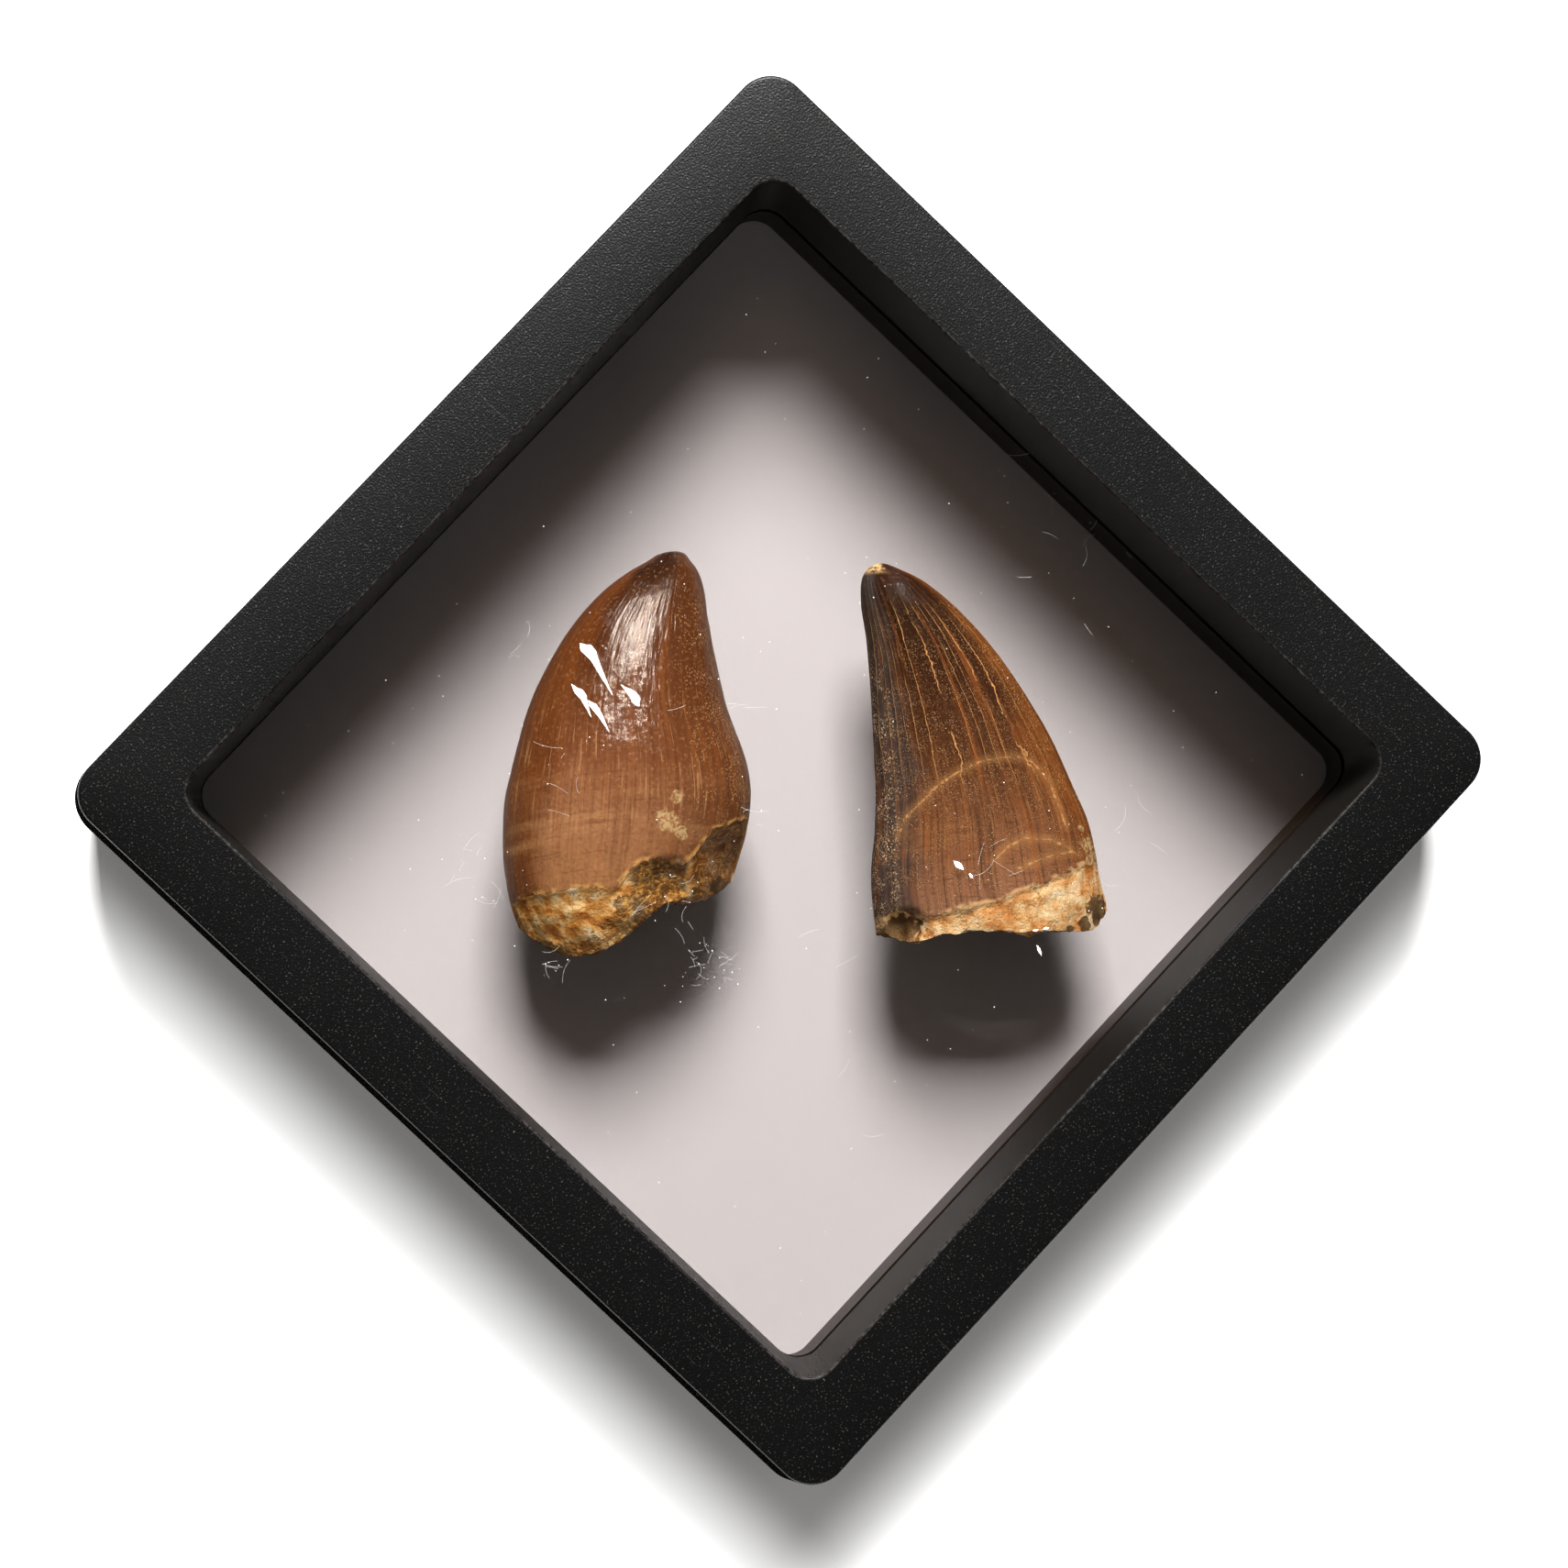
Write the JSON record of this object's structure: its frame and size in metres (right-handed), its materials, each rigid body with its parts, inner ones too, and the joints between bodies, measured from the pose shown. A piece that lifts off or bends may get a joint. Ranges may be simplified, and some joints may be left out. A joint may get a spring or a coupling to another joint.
{
  "type": "fossil teeth in a floating display frame",
  "caption": "Fossil reptile tooth crowns with broken bases, gripped between clear stretched films in a small square black display frame.",
  "frame": {"origin": "middle of the frame's back face, which it rests on", "axes": "+Z out of the front face, X and Y along the frame's sides; the teeth point along the diagonal between +X and +Y"},
  "size_m": [0.0896, 0.0896, 0.02],
  "materials": {
    "frame_plastic": "black moulded plastic, finely grained on its faces",
    "clear_film": "clear stretched elastic film, glossy",
    "brown_enamel": "glossy brown fossil enamel, rough tan where it is broken",
    "dark_enamel": "ridged dark brown fossil enamel, rough cream where it is broken"
  },
  "bodies": {
    "root": {"frame_front": "frame_plastic", "frame_back": "frame_plastic", "film_front": "clear_film", "film_back": "clear_film", "tooth_left": "brown_enamel", "tooth_right": "dark_enamel"}
  },
  "joints": []
}
